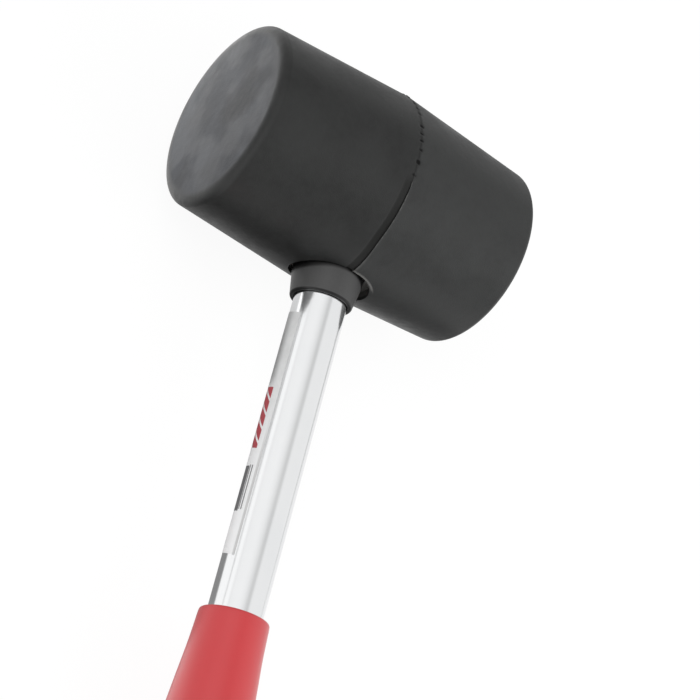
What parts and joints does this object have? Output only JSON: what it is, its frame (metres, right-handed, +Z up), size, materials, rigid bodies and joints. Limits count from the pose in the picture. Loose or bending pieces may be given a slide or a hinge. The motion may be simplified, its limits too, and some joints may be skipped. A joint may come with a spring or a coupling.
{
  "type": "rubber mallet",
  "caption": "Rubber mallet with a double-tapered black rubber head, a conical bush, a chromed tube handle and a red vinyl grip, for striking without marking.",
  "frame": {"origin": "on the ground, under the middle of the bounding box, with the mallet lying on its back", "axes": "+X along the head's axis towards its right face, +Y from the butt of the grip towards the head, +Z up"},
  "size_m": [0.1156, 0.33, 0.076],
  "materials": {
    "black_rubber": "matte moulded rubber with a faint bloom",
    "grey_plastic": "satin moulded",
    "chrome": "bright plated steel tube",
    "hardwood": "plain turned",
    "wedge_steel": "plain",
    "silver_film": "silver sticker film",
    "red_vinyl": "satin soft vinyl",
    "dark_plastic": "moulded"
  },
  "bodies": {
    "root": {"rubber_head": "black_rubber", "handle_bush": "grey_plastic", "handle_tube": "chrome", "tube_core": "hardwood", "core_wedge": "wedge_steel", "label": "silver_film", "grip": "red_vinyl", "tube_end_plug": "dark_plastic"}
  },
  "joints": []
}
